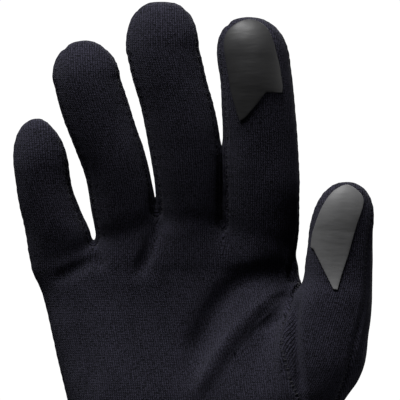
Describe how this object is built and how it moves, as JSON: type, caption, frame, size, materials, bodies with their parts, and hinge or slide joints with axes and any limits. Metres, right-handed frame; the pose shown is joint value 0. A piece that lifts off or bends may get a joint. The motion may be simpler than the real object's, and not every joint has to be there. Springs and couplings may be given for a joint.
{
  "type": "knit glove liner",
  "caption": "Thin knit glove liner for the right hand, in the shape it has when worn, with fingertip strips, a set-in thumb, a hemmed wrist and smooth touch patches on index finger and thumb.",
  "frame": {"origin": "middle of the open mouth at the wrist, where the hand goes in", "axes": "+Z from the wrist towards the fingertips, palm facing -Y, thumb towards +X"},
  "size_m": [0.1252, 0.053, 0.2437],
  "materials": {
    "knit": "matt fine jersey knit, near black with a navy tint",
    "index_film": "smooth satin film, dark grey",
    "thumb_film": "smooth satin film, mid grey"
  },
  "bodies": {
    "root": {"palm_panel": "knit", "back_panel": "knit", "thumb_panel": "knit", "fourchette_little_ring": "knit", "fourchette_ring_middle": "knit", "fourchette_middle_index": "knit", "wrist_hem": "knit", "index_touch_patch": "index_film", "thumb_touch_patch": "thumb_film"}
  },
  "joints": []
}
